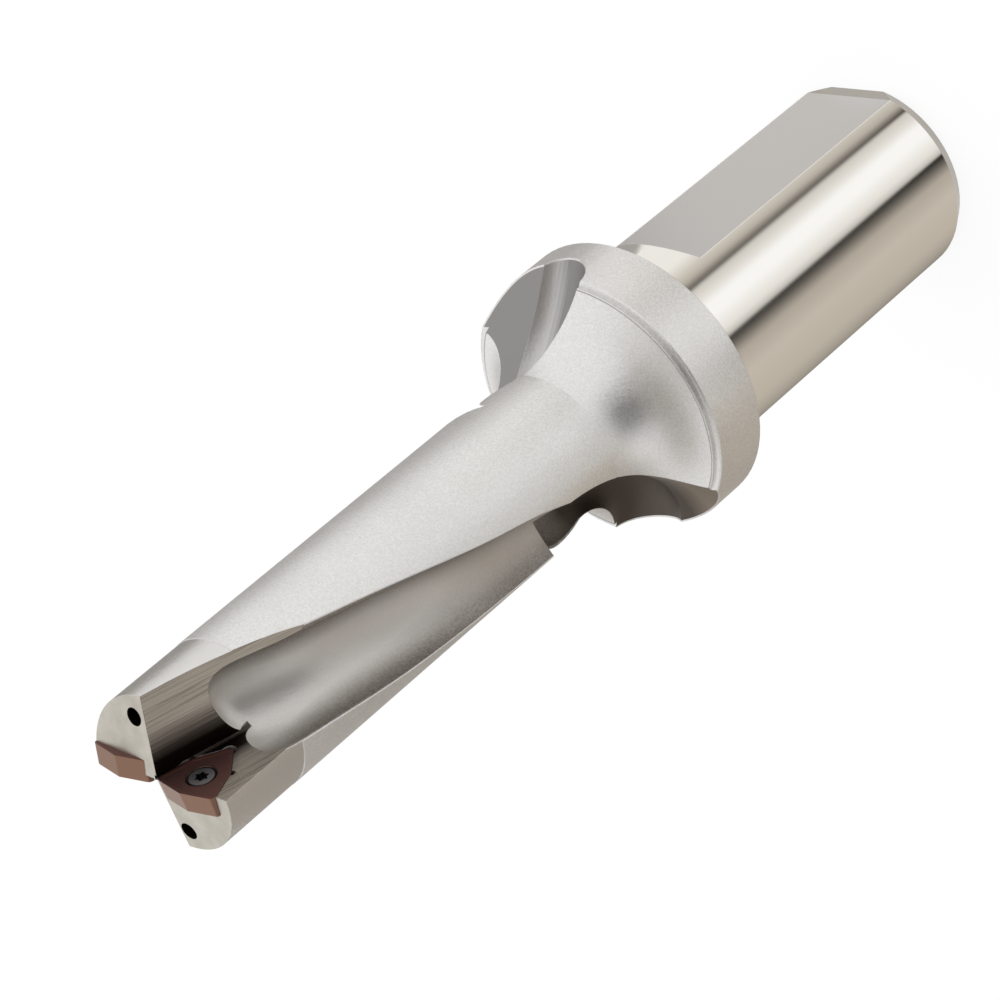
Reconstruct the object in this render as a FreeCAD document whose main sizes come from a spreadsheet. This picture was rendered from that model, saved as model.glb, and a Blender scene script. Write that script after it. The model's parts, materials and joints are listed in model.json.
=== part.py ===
import FreeCAD, Part
import math
import os

import Sketcher
from FreeCAD import Vector

# Indexable drill with a cylindrical shank, a round flange, a twisted two-flute body and
# two screwed-on trigon inserts. Frame: +Z runs from the shank to the tip along the drill's
# axis, the origin is the centre of the flange's seating face, and +X is the radius that
# the central insert lies on. Millimetres and degrees.

DIMENSIONS = {
    # shank and its clamping flat
    "overall_length": 160.88,
    "shank_diameter": 32.0,
    "shank_length": 60.0,
    "shank_chamfer_length": 2.3,
    "shank_chamfer_depth": 1.2,
    "flat_depth": 2.0,
    "flat_heading": 94.0,
    "flat_start": 8.85,
    "flat_cutter_radius": 20.0,
    # flange and the hollow cone in front of it
    "flange_diameter": 42.6,
    "flange_width": 9.4,
    "edge_break": 0.2,
    "shoulder_diameter": 40.6,
    "shoulder_height": 9.85,
    "cone_arc_radius": 12.0,
    "cone_end": 20.0,
    # body and tip
    "body_diameter": 23.24,
    "nose_diameter": 23.1,
    "nose_length": 14.75,
    # the two end faces slope back from a ridge across the axis
    "end_heading": 101.6,
    "back_end_slope_angle": 10.2,
    "front_end_slope_angle": 3.4,
    "front_end_drop": 0.5,
    # coolant bore in the shank and the two passages to the tip
    "bore_diameter": 16.0,
    "bore_end": 0.5,
    "bore_chamfer": 1.0,
    "bore_point_angle": 118.0,
    "passage_diameter": 2.6,
    "passage_start": 0.0,
    "passage_start_radius": 7.5,
    "passage_start_heading": 12.0,
    "passage_exit_drop": 1.3,
    "back_passage_exit_radius": 8.6,
    "back_passage_exit_heading": 108.8,
    "front_passage_exit_radius": 8.67,
    "front_passage_exit_heading": 99.3,
    # flutes: a round trough that twists and grows shallower towards the shank
    "flute_radius": 6.49,
    "flute_middle_drop": 30.1,
    "flute_offset": 11.88,
    "flute_rise": 0.0702,
    "flute_rise_change": 0.0003,
    "flute_heading": 14.8,
    "flute_twist": 1.078,
    "flute_twist_change": 0.00385,
    "flute_low": 20.0,
    "flute_bend_drop": 20.1,
    "flute_turn_drop": 14.8,
    "flute_turn_offset": 9.5,
    "flute_end_drop": 9.6,
    "flute_end_offset": 11.45,
    "strip_depth": 0.5,
    "strip_growth": 0.0105,
    "strip_angle": 65.0,
    "strip_reach": 8.0,
    # front gash: a leaning wall over a flat floor
    "gash_drop": 0.61,
    "gash_angle": 18.0,
    "gash_wall_angle": 6.62,
    "gash_reach": 20.0,
    "central_gash_offset": 0.0,
    "peripheral_gash_offset": 1.0,
    "gash_length": 45.0,
    # relief that lets the chips out over the flange, turned by a large rounded cutter
    "relief_offset": 18.82,
    "relief_offset_heading": 69.3,
    "relief_height": 21.74,
    "relief_heading": 159.3,
    "relief_tilt_angle": 19.7,
    "relief_start_angle": 24.3,
    "relief_sweep_angle": 140.0,
    "relief_ring_radius": 14.88,
    "relief_corner_middle": 6.15,
    "relief_corner_radius": 5.35,
    "relief_crease_angle": 71.4,
    "relief_flank_angle": 33.8,
    "relief_width": 24.0,
    # clearance slot under the foot of the gash wall, beside the insert
    "slot_height": 0.55,
    "slot_axis_drop": 2.23,
    "slot_angle": 14.0,
    "slot_top_rise": 1.0,
    "slot_bottom_drop": 13.7,
    "slot_overlap": 2.0,
    # trigon inserts and their places
    "insert_circle": 7.94,
    "insert_corner_angle": 80.0,
    "insert_thickness": 3.18,
    "insert_nose_radius": 0.8,
    "insert_clearance_angle": 7.0,
    "insert_drop": 3.25,
    "insert_gap": 0.05,
    "rim_width": 0.55,
    "rim_depth": 0.15,
    "central_offset": 4.57,
    "central_rake": 0.0,
    "peripheral_offset": 6.8,
    "peripheral_rake": 1.1,
    # notches in the corners of the insert pockets
    "nose_notch_diameter": 2.0,
    "nose_notch_shift": 0.35,
    "side_notch_diameter": 1.1,
    # insert holes and screws
    "sink_diameter": 4.3,
    "sink_depth": 0.35,
    "cone_angle": 60.0,
    "insert_hole_diameter": 3.4,
    "screw_head_diameter": 3.9,
    "screw_head_drop": 0.3,
    "screw_diameter": 2.96,
    "screw_reach": 7.6,
    "screw_gap": 0.04,
    "screw_tip_gap": 0.4,
    "socket_diameter": 1.99,
    "socket_waist": 1.42,
    "socket_lobe_radius": 0.17,
    "socket_hollow_radius": 0.42,
    "socket_depth": 1.0,
}

FLUTE_SECTIONS = 6
INSERT_REACH = "($insert_circle / 2 / cos($insert_corner_angle / 2 - 30))"
TIP = f"($overall_length - $shank_length + $insert_drop - {INSERT_REACH})"
GASH_TOP = f"({TIP} - $gash_drop)"
FLUTE_MIDDLE = f"({TIP} - $flute_middle_drop)"
SOCKET_LOBES = 6

doc = FreeCAD.newDocument("indexable_drill")
sheet = doc.addObject("Spreadsheet::Sheet", "Sizes")
for row, (alias, number) in enumerate(DIMENSIONS.items(), start=1):
    sheet.set(f"A{row}", alias)
    sheet.set(f"B{row}", str(number))
    sheet.setAlias(f"B{row}", alias)
doc.recompute()


def cells(text):
    """Write $name for a cell of the sheet."""
    return text.replace("$", "Sizes.")


def value(text):
    """The number that an expression gives now."""
    result = sheet.evalExpression(cells(text))
    return float(getattr(result, "Value", result))


def origin_feature(body, role):
    """One of the body's own base planes or axes."""
    for feature in body.Origin.OriginFeatures:
        if feature.Role == role:
            return feature
    raise ValueError(role)


def new_body(label):
    """A body whose label names its file."""
    body = doc.addObject("PartDesign::Body", label)
    body.Label = label
    return body


def place(x="0", y="0", z="0", turns=()):
    """Expression for a placement: a shift after turns about X, Y or Z, outermost first."""
    axes = {"X": "vector(1; 0; 0)", "Y": "vector(0; 1; 0)", "Z": "vector(0; 0; 1)"}
    rotation = " * ".join(f"rotation({axes[axis]}; {angle})" for axis, angle in turns)
    return f"placement(vector({x}; {y}; {z}); {rotation or 'rotation(vector(0; 0; 1); 0)'})"


def new_sketch(body, name, placement=None, plane="XY_Plane"):
    """A sketch on one of the body's base planes, moved and turned by an expression."""
    sketch = body.newObject("Sketcher::SketchObject", name)
    sketch.AttachmentSupport = [(origin_feature(body, plane), "")]
    sketch.MapMode = "FlatFace"
    if placement:
        sketch.setExpression("AttachmentOffset", cells(placement))
    return sketch


def hold(sketch, kind, text, *where):
    """Add a dimension whose size comes from an expression."""
    index = sketch.addConstraint(Sketcher.Constraint(kind, *where, value(text)))
    sketch.setExpression(f"Constraints[{index}]", cells(text))


def pin(sketch, geometry, end, pair):
    """Hold one end of a line or arc at a place given by two expressions."""
    hold(sketch, "DistanceX", pair[0], -1, 1, geometry, end)
    hold(sketch, "DistanceY", pair[1], -1, 1, geometry, end)


def draw_outline(sketch, corners):
    """Draw a closed outline through corners, each a pair of expressions.

    A corner with a third entry starts an arc that is to pass near that point, and the
    fourth entry is the arc's radius.
    """
    for index, corner in enumerate(corners):
        start = Vector(value(corner[0]), value(corner[1]), 0)
        following = corners[(index + 1) % len(corners)]
        end = Vector(value(following[0]), value(following[1]), 0)
        if len(corner) == 2:
            line = sketch.addGeometry(Part.LineSegment(start, end), False)
            pin(sketch, line, 1, corner)
            pin(sketch, line, 2, following)
            continue
        via = Vector(value(corner[2][0]), value(corner[2][1]), 0)
        circle = Part.Circle(start, via, end)
        angles = [math.atan2(p.y - circle.Center.y, p.x - circle.Center.x) for p in (start, via, end)]
        turned = [(angle - angles[0]) % (2 * math.pi) for angle in angles]
        first, last = (1, 2) if turned[1] < turned[2] else (2, 1)
        limits = (angles[0], angles[2]) if first == 1 else (angles[2], angles[0])
        round_edge = Part.Circle(circle.Center, Vector(0, 0, 1), circle.Radius)
        arc = sketch.addGeometry(Part.ArcOfCircle(round_edge, *limits), False)
        pin(sketch, arc, first, corner)
        pin(sketch, arc, last, following)
        hold(sketch, "Radius", corner[3], arc)


def draw_circle(sketch, diameter, centre=("0", "0")):
    """Draw a circle whose diameter and centre come from expressions."""
    middle = Vector(value(centre[0]), value(centre[1]), 0)
    circle = sketch.addGeometry(Part.Circle(middle, Vector(0, 0, 1), value(diameter) / 2), False)
    hold(sketch, "Diameter", diameter, circle)
    pin(sketch, circle, 3, centre)


def add_feature(body, kind, name, sketch, **settings):
    """Add a sketch-based feature; settings given as text are bound as expressions."""
    feature = body.newObject(f"PartDesign::{kind}", name)
    feature.Profile = sketch
    for key, setting in settings.items():
        if isinstance(setting, str) and key not in ("SideType", "Type"):
            feature.setExpression(key, cells(setting))
        else:
            setattr(feature, key, setting)
    sketch.Visibility = False
    return feature


def revolved_blank(body):
    """Shank, flange, hollow cone and body as one turned profile, drawn below the flat."""
    under_flat = place(turns=[("Z", "$flat_heading"), ("X", "90")])
    sketch = new_sketch(body, "blank_profile", under_flat)
    shank = "$shank_diameter / 2"
    rim = "$flange_diameter / 2"
    shoulder = "$shoulder_diameter / 2"
    radius = "$body_diameter / 2"
    nose = "$nose_diameter / 2"
    run = f"({shoulder} - {radius})"
    climb = "($cone_end - $shoulder_height)"
    chord = f"sqrt({run} * {run} + {climb} * {climb})"
    bulge = f"($cone_arc_radius - sqrt($cone_arc_radius ^ 2 - {chord} ^ 2 / 4))"
    near_arc = (
        f"({shoulder} + {radius}) / 2 - {bulge} * {climb} / {chord}",
        f"($shoulder_height + $cone_end) / 2 - {bulge} * {run} / {chord}",
    )
    draw_outline(sketch, [
        ("0", "-$shank_length"),
        (f"{shank} - $shank_chamfer_depth", "-$shank_length"),
        (shank, "-$shank_length + $shank_chamfer_length"),
        (shank, "0"),
        (f"{rim} - $edge_break", "0"),
        (rim, "$edge_break"),
        (rim, "$flange_width - $edge_break"),
        (f"{rim} - $edge_break", "$flange_width"),
        (shoulder, "$flange_width"),
        (shoulder, "$shoulder_height", near_arc, "$cone_arc_radius"),
        (radius, "$cone_end"),
        (radius, f"{TIP} - $nose_length"),
        (nose, f"{TIP} - $nose_length"),
        (nose, TIP),
        ("0", TIP),
    ])
    return add_feature(body, "Revolution", "blank", sketch,
                       ReferenceAxis=(origin_feature(body, "Z_Axis"), [""]))


def clamping_flat(body):
    """A flat milled along the shank, ending in the round of the cutter."""
    plane = place(
        "($shank_diameter / 2 - $flat_depth) * cos($flat_heading)",
        "($shank_diameter / 2 - $flat_depth) * sin($flat_heading)",
        "-$flat_start - $flat_cutter_radius",
        [("Z", "$flat_heading + 90"), ("X", "90")])
    sketch = new_sketch(body, "flat_outline", plane)
    low = "$flat_start + $flat_cutter_radius - $shank_length - $flat_depth"
    middle = "$flat_cutter_radius * sin(45)"
    draw_outline(sketch, [
        ("$flat_cutter_radius", "0", (middle, middle), "$flat_cutter_radius"),
        ("0", "$flat_cutter_radius", (f"-{middle}", middle), "$flat_cutter_radius"),
        ("-$flat_cutter_radius", "0"),
        ("-$flat_cutter_radius", low),
        ("$flat_cutter_radius", low),
    ])
    return add_feature(body, "Pocket", "clamping_flat", sketch,
                       Reversed=True, Length="2 * $flat_depth")


def end_faces(body):
    """The two end faces, sloping back from a ridge across the axis behind each cutting edge."""
    plane = place(z=TIP, turns=[("Z", "$end_heading"), ("X", "90")])
    sketch = new_sketch(body, "end_outline", plane)
    draw_outline(sketch, [
        ("0", "0"),
        ("$body_diameter", "-$body_diameter * tan($back_end_slope_angle)"),
        ("$body_diameter", "$front_end_drop"),
        ("-$body_diameter", "$front_end_drop"),
        ("-$body_diameter", "-$front_end_drop - $body_diameter * tan($front_end_slope_angle)"),
        ("0", "-$front_end_drop"),
    ])
    return add_feature(body, "Pocket", "end_faces", sketch,
                       Midplane=True, Length="2 * $body_diameter")


def coolant_bore(body):
    """The drilled inlet from the shank's end, with a chamfered mouth."""
    sketch = new_sketch(body, "bore_profile", plane="XZ_Plane")
    radius = "$bore_diameter / 2"
    draw_outline(sketch, [
        ("0", "-$shank_length"),
        (f"{radius} + $bore_chamfer", "-$shank_length"),
        (radius, "-$shank_length + $bore_chamfer"),
        (radius, "$bore_end"),
        ("0", f"$bore_end + {radius} / tan($bore_point_angle / 2)"),
    ])
    return add_feature(body, "Groove", "coolant_bore", sketch,
                       ReferenceAxis=(origin_feature(body, "Z_Axis"), [""]))


def coolant_passage(body, side):
    """A straight drilled passage from the inlet bore out to the tip."""
    sign = 1 if side == "back" else -1
    start = polar(f"({sign} * $passage_start_radius)", "$passage_start_heading")
    goal = polar(f"({sign} * ${side}_passage_exit_radius)", f"${side}_passage_exit_heading")
    run = [f"({far} - ({near}))" for near, far in zip(start, goal)]
    reach = f"sqrt({run[0]} ^ 2 + {run[1]} ^ 2)"
    climb = f"({TIP} - $passage_exit_drop - $passage_start)"
    plane = place(start[0], start[1], "$passage_start",
                  [("Z", f"atan2({run[1]}; {run[0]})"), ("Y", f"atan({reach} / {climb})")])
    sketch = new_sketch(body, f"{side}_passage_outline", plane)
    draw_circle(sketch, "$passage_diameter")
    return add_feature(body, "Pocket", f"{side}_coolant_passage", sketch,
                       Reversed=True, Length=f"{climb} + 2 * $passage_diameter")


def flute_sections():
    """Heights above the flute's middle and offsets of its trough, from the shank to the tip."""
    bend = "($flute_middle_drop - $flute_bend_drop)"
    low = f"($flute_low - {FLUTE_MIDDLE})"
    for step in range(FLUTE_SECTIONS):
        along = f"({low} + ({bend} - {low}) * {step / (FLUTE_SECTIONS - 1)})"
        yield along, f"($flute_offset - $flute_rise * {along} + $flute_rise_change * {along} ^ 2)"
    yield "($flute_middle_drop - $flute_turn_drop)", "$flute_turn_offset"
    yield "($flute_middle_drop - $flute_end_drop)", "$flute_end_offset"


def flute(body):
    """One flute: a loft through sections that turn and move outwards towards the shank."""
    sections = []
    for number, (along, centre) in enumerate(flute_sections(), start=1):
        heading = f"$flute_heading + $flute_twist * {along} + $flute_twist_change * {along} ^ 2"
        sketch = new_sketch(body, f"flute_section_{number}",
                            place(z=f"{FLUTE_MIDDLE} + {along}", turns=[("Z", heading)]))
        strip = f"($strip_depth + $strip_growth * {along})"
        ends = {}
        for side, share_of_strip in ((1, 1), (-1, 0.5)):
            edge = f"($body_diameter / 2 - {strip} * {share_of_strip})"
            out = f"(({centre} ^ 2 + {edge} ^ 2 - $flute_radius ^ 2) / 2 / {centre})"
            across = f"(sqrt({edge} ^ 2 - {out} ^ 2))"
            ends[side] = (
                (out, f"{side} * {across}"),
                (f"{out} + $strip_reach * cos($strip_angle)",
                 f"{side} * ({across} + $strip_reach * sin($strip_angle))"),
            )
        bottom = (f"{centre} - $flute_radius", "0")
        draw_outline(sketch, [
            (*ends[-1][0], bottom, "$flute_radius"),
            ends[1][0],
            ends[1][1],
            ends[-1][1],
        ])
        sections.append(sketch)
    loft = add_feature(body, "SubtractiveLoft", "flute", sections[0], Sections=sections[1:])
    for sketch in sections:
        sketch.Visibility = False
    return loft


def gash(body, side):
    """The open front of a flute: a leaning wall over a flat floor, milled down the flute."""
    half_turn = 0 if side == "central" else 180
    sign = 1 if side == "central" else -1
    sketch = new_sketch(body, f"{side}_gash_outline",
                        place(x=f"{sign} * ${side}_gash_offset", z=GASH_TOP,
                              turns=[("Z", f"{half_turn}"), ("Y", "-$gash_angle")]))
    draw_outline(sketch, [
        ("0", "0"),
        ("$gash_reach", "0"),
        ("$gash_reach", "$gash_reach"),
        ("-$gash_reach * tan($gash_wall_angle)", "$gash_reach"),
    ])
    return add_feature(body, "Pocket", f"{side}_gash", sketch,
                       Midplane=True, Length="2 * $gash_length")


def chip_relief(body):
    """The groove that carries a flute out over the flange.

    A round-nosed profile swings about a leaning axis beside the drill: it starts inside the
    flute, with a flat end there, and leaves through the cone and the flange's rim. The
    profile's first coordinate runs along that axis and its second one away from it.
    """
    centre = place(
        "$relief_offset * cos($relief_offset_heading)",
        "$relief_offset * sin($relief_offset_heading)",
        "$relief_height",
        [("Z", "$relief_heading"), ("Y", "-$relief_tilt_angle"), ("X", "$relief_start_angle")])
    sketch = new_sketch(body, "relief_profile", centre)
    middle = ("$relief_corner_middle", "$relief_ring_radius")
    radius = "$relief_corner_radius"
    slope = "tan($relief_flank_angle)"
    near = polar(radius, "($relief_flank_angle - 90)", middle)
    far = polar(radius, "$relief_crease_angle", middle)
    deep = polar(radius, "180", middle)
    draw_outline(sketch, [
        (*near, polar(radius, "-110", middle), radius),
        (*deep, polar(radius, "120", middle), radius),
        far,
        ("$relief_width", f"{far[1]} + ($relief_width - ({far[0]})) * {slope}"),
        ("$relief_width", f"{near[1]} + ($relief_width - ({near[0]})) * {slope}"),
    ])
    return add_feature(body, "Groove", "chip_relief", sketch, Angle="$relief_sweep_angle",
                       Reversed=True, ReferenceAxis=(sketch, ["H_Axis"]))


def foot_slot(body):
    """A low slot under the gash wall that clears the insert's inner corner."""
    sketch = new_sketch(body, "slot_outline", plane="XZ_Plane")

    def inner(height):
        return f"({TIP} - $slot_axis_drop - {height}) * tan($slot_angle)"

    def foot(height):
        return f"({GASH_TOP} - {height}) * tan($gash_angle) + $slot_overlap"

    top = f"({TIP} + $slot_top_rise)"
    bottom = f"({TIP} - $slot_bottom_drop)"
    draw_outline(sketch, [
        (inner(top), top),
        (inner(bottom), bottom),
        (foot(bottom), bottom),
        (foot(top), top),
    ])
    return add_feature(body, "Pocket", "foot_slot", sketch, Length="$slot_height")


def opposite_copy(body, name, originals):
    """The same cuts on the other side of the drill."""
    pattern = body.newObject("PartDesign::PolarPattern", name)
    pattern.Originals = originals
    pattern.Axis = (origin_feature(body, "Z_Axis"), [""])
    pattern.Angle = 360
    pattern.Occurrences = 2
    body.Tip = pattern
    return pattern


def polar(distance, angle, start=("0", "0")):
    """A point at a distance and angle from a start point, as expressions."""
    return (f"{start[0]} + {distance} * cos({angle})", f"{start[1]} + {distance} * sin({angle})")


def insert_place(side, depth="0"):
    """The plane at a depth below an insert's rake face, facing into its seat."""
    half_turn = 0 if side == "central" else 180
    sign = 1 if side == "central" else -1
    return place(
        f"{sign} * ${side}_offset",
        f"{sign} * (${side}_rake - {depth})",
        f"{TIP} - $insert_drop",
        [("Z", f"{half_turn}"), ("X", "90")])


def trigon(outset="0"):
    """Three-cornered outline with rounded 80 degree corners and blunt middles."""
    circle = f"($insert_circle / 2 + {outset})"
    nose = f"($insert_nose_radius + {outset})"
    half = "($insert_corner_angle / 2)"
    corners = []
    for heading in (30, 150, 270):
        centre = polar(f"({circle} - {nose}) / sin({half})", heading)
        corners.append((*polar(nose, f"({heading} - 90 + {half})", centre),
                        polar(nose, heading, centre), nose))
        corners.append(polar(nose, f"({heading} + 90 - {half})", centre))
        corners.append(polar(f"{circle} / cos(60 - 90 + {half})", heading + 60))
    return corners


def insert_pocket(body, side):
    """The seat that an insert drops into, its corner notches and its screw hole."""
    outline = new_sketch(body, f"{side}_seat_outline", insert_place(side))
    draw_outline(outline, trigon("$insert_gap"))
    add_feature(body, "Pocket", f"{side}_seat", outline, Reversed=True,
                Length="$insert_thickness", TaperAngle="-$insert_clearance_angle")
    notches = new_sketch(body, f"{side}_notch_outline", insert_place(side))
    nose = "($insert_circle / 2 - $insert_nose_radius) / sin($insert_corner_angle / 2)"
    draw_circle(notches, "$nose_notch_diameter", polar(f"({nose} + $nose_notch_shift)", 270))
    blunt = "($insert_circle / 2 / cos(60 - 90 + $insert_corner_angle / 2))"
    for heading in (210, 330):
        draw_circle(notches, "$side_notch_diameter", polar(blunt, heading))
    add_feature(body, "Pocket", f"{side}_notches", notches, Reversed=True,
                Length="$insert_thickness")
    hole = new_sketch(body, f"{side}_screw_hole_outline", insert_place(side, "$insert_thickness"))
    draw_circle(hole, "$screw_diameter + 2 * $screw_gap")
    add_feature(body, "Pocket", f"{side}_screw_hole", hole, Reversed=True,
                Length="$screw_reach + $screw_tip_gap - $insert_thickness")


def across(side):
    """The plane through an insert's hole axis: first coordinate radial, second downwards."""
    half_turn = 0 if side == "central" else 180
    sign = 1 if side == "central" else -1
    return place(
        f"{sign} * ${side}_offset",
        f"{sign} * ${side}_rake",
        f"{TIP} - $insert_drop",
        [("Z", f"{half_turn + 180}")])


def make_insert(side):
    """A trigon insert with a raised rim and a countersunk hole."""
    body = new_body(f"{side}_insert")
    outline = new_sketch(body, "insert_outline", insert_place(side))
    draw_outline(outline, trigon())
    add_feature(body, "Pad", "blank", outline, Length="$insert_thickness",
                TaperAngle="-$insert_clearance_angle")
    face = new_sketch(body, "rim_outline", insert_place(side))
    draw_outline(face, trigon("-$rim_width"))
    add_feature(body, "Pocket", "rake_face", face, Reversed=True, Length="$rim_depth")
    profile = new_sketch(body, "hole_profile", across(side))
    sink = "$sink_diameter / 2"
    hole = "$insert_hole_diameter / 2"
    draw_outline(profile, [
        ("0", "-$rim_depth"),
        (sink, "-$rim_depth"),
        (sink, "$sink_depth"),
        (hole, f"$sink_depth + ({sink} - {hole}) / tan($cone_angle / 2)"),
        (hole, "$insert_thickness + $rim_depth"),
        ("0", "$insert_thickness + $rim_depth"),
    ])
    add_feature(body, "Groove", "countersunk_hole", profile, ReferenceAxis=(profile, ["V_Axis"]))
    return body


def make_screw(side):
    """A countersunk insert screw with a six-lobed socket."""
    body = new_body(f"{side}_insert_screw")
    profile = new_sketch(body, "screw_profile", across(side))
    head = "$screw_head_diameter / 2"
    stem = "$screw_diameter / 2"
    taper = "tan($cone_angle / 2)"
    cone_top = f"$sink_depth + ($sink_diameter / 2 - $screw_gap - {head}) / {taper}"
    draw_outline(profile, [
        ("0", "$screw_head_drop"),
        (head, "$screw_head_drop"),
        (head, cone_top),
        (stem, f"{cone_top} + ({head} - {stem}) / {taper}"),
        (stem, f"$screw_reach - ({stem}) / 4"),
        (f"{stem} * 3 / 4", "$screw_reach"),
        ("0", "$screw_reach"),
    ])
    add_feature(body, "Revolution", "blank", profile, ReferenceAxis=(profile, ["V_Axis"]))
    lobes = new_sketch(body, "socket_outline", insert_place(side, "$screw_head_drop"))
    lobe = "$socket_lobe_radius"
    hollow = "$socket_hollow_radius"
    lobe_middle = f"($socket_diameter / 2 - {lobe})"
    hollow_middle = f"($socket_waist / 2 + {hollow})"
    pitch = 360 / SOCKET_LOBES
    swing = (f"atan2({hollow_middle} * sin({pitch / 2}); "
             f"{hollow_middle} * cos({pitch / 2}) - {lobe_middle})")
    corners = []
    for number in range(SOCKET_LOBES):
        heading = pitch * number
        centre = polar(lobe_middle, heading)
        corners.append((*polar(lobe, f"({heading} deg - {swing})", centre),
                        polar(lobe, heading, centre), lobe))
        corners.append((*polar(lobe, f"({heading} deg + {swing})", centre),
                        polar("$socket_waist / 2", heading + pitch / 2), hollow))
    draw_outline(lobes, corners)
    add_feature(body, "Pocket", "socket", lobes, Reversed=True, Length="$socket_depth")
    return body


drill_body = new_body("drill_body")
revolved_blank(drill_body)
clamping_flat(drill_body)
coolant_bore(drill_body)
doc.recompute()
opposite_copy(drill_body, "second_side", [flute(drill_body), chip_relief(drill_body)])
end_faces(drill_body)
for side in ("central", "peripheral"):
    gash(drill_body, side)
foot_slot(drill_body)
for side in ("back", "front"):
    coolant_passage(drill_body, side)
parts = [drill_body]
for side in ("central", "peripheral"):
    insert_pocket(drill_body, side)
    parts.append(make_insert(side))
    parts.append(make_screw(side))
doc.recompute()

for thing in doc.Objects:
    if "Invalid" in thing.State or "Error" in thing.State:
        raise RuntimeError(f"{thing.Label} failed: {thing.State}")
for part in parts:
    if part.Shape.isNull() or not part.Shape.isValid():
        raise RuntimeError(f"{part.Label} has no valid shape")

os.makedirs("parts", exist_ok=True)
for part in parts:
    part.Shape.exportStep(f"parts/{part.Label}.step")
    print(part.Label, round(part.Shape.Volume, 1), len(part.Shape.Solids), len(part.Shape.Faces))
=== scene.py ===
import json
from math import atan2, cos, degrees, radians, sin
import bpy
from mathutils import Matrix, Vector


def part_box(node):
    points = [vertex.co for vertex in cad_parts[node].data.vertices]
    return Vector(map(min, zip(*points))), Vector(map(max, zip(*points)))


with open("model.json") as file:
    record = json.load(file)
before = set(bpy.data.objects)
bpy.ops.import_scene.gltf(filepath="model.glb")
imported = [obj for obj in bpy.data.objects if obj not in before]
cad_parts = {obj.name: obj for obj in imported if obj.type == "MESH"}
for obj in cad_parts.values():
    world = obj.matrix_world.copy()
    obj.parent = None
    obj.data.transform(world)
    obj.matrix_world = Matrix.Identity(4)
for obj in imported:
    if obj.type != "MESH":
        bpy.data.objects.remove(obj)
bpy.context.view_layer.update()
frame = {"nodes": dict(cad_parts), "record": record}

from types import SimpleNamespace

import bpy
from bpy.props import FloatProperty, FloatVectorProperty, PointerProperty
from mathutils import Matrix, Vector

bl_info = {
    "name": "Indexable drill looks",
    "version": (1, 0, 0),
    "blender": (4, 5, 0),
    "location": "3D View > Sidebar > Drill",
    "description": "Finishes, floor, lamp, cards and camera for an indexable drill",
    "category": "Object",
}

MM = 0.001
BODY_LOW, BODY_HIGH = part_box("drill_body")


def mount(name):
    """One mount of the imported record."""
    return next(item for item in frame["record"]["mounts"] if item["name"] == name)


# places on the drill in mm, along its axis from the flange's seat or out from the axis
SHANK_END = BODY_LOW.z / MM
SHANK_RADIUS = mount("shank")["dims"]["r_mm"]
CHAMFER_TOP = SHANK_END + 2.3
RIM_RADIUS = BODY_HIGH.x / MM
RIM_FRONT = 9.4
SHOULDER_RADIUS = 20.2
CONE_FOOT = 9.85
CONE_END = 20.0
SKIN_RADIUS = 11.55
TIP = BODY_HIGH.z / MM
NOSE_START = TIP - 14.75
GASH_START = TIP - 45.0
SCREW_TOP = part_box("central_insert_screw")[1].y / MM

# the hollow cone's arc in mm: its radius, and its centre out from the axis and along it
CONE_ARC = 12.0
CONE_ARC_CENTRE = (23.54, 21.41)

# the gash walls' planes: lean to the axis, sideways lean, and distance in mm from the origin by side of X
WALL_ANGLE = radians(18.0)
WALL_LEAN = radians(6.62)
WALL_REACH = {1: 30.54, -1: 31.49}

# mm: where two finishes meet, a facet's fall inside its round, a wall's half band, the rim's broken edge
SEAM = 0.05
FACET_FALL = 0.03
WALL_BAND = 0.30
RIM_BREAK = 0.25

# where a finish is absent and where it is whole, in mm along the axis
GASH_RUN_IN = (GASH_START, GASH_START + 1.0)
END_FACE_DEPTH = (TIP - 6.0, TIP - 5.0)
RECESS_DEPTH = (TIP - 4.2, TIP - 3.7)
RELIEF_FOOT = (0.5, 1.5)
RELIEF_END = (26.0, 22.0)

# the same across the drill, each bounding painted light and shade: Y of each relief, X of the deep one's
# flank, and radius in a flute
LIT_RELIEF_SIDE = (2.0, 4.0)
DEEP_RELIEF_SIDE = (-6.0, -9.0)
DEEP_FLANK_SIDE = (10.0, 14.0)
CARVED_SIDE = (6.8, 9.8)
CARVED_EDGE = (9.8, 11.3)

# the same in the gashes: height off the floor, twice, and distance past the wall's plane, twice; all but
# the first bound the painted shade in the gash corners
FLOOR_LEVEL = (0.10, 0.05)
SHADE_UP_WALL = (6.5, 2.2)
SHADE_UNDER_WALL = (-0.5, 0.0)
SHADE_OVER_FLOOR = (4.5, 2.0)

# the same by the share of a face's normal that looks the finish's own way
WALL_FACING = (0.995, 0.998)
FLOOR_FACING = (0.990, 0.995)
END_FACING = (0.95, 0.97)
LIT_GROOVE_FACING = (0.0, 0.35)
RAKE_FACING = (0.90, 0.98)
SOCKET_FACING = (0.75, 0.55)

# the same on a screw, in mm: below its top, and in from its head's round; both bound painted shade
SOCKET_DEPTH = (0.4, 0.5)
HEAD_RING = (0.30, 0.20)

# sizes of the patterns in mm
STREAK_WIDTH = 0.25
STREAK_LENGTH = 12.5
CLOUD_SIZE = 8.33
MOTTLE_SIZE = 2.22
CARBIDE_GRAIN = 0.2
PHOSPHATE_GRAIN = 0.167

# contrast of two patterns: where their noise turns dark and pale
GRIT_CONTRAST = (0.35, 0.65)
STREAK_CONTRAST = (0.32, 0.68)

# how much of a pattern shows: bead marks against clouds, glints in the flutes, streaks on the gash floors
SPECKLE_SHARE = 0.6
GLINT_SHARE = 0.3
FLOOR_STREAK_SHARE = 0.5

# depths of the patterns in mm
BEAD_DEPTH = 0.04
CARBIDE_DEPTH = 0.02
PHOSPHATE_DEPTH = 0.01

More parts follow.
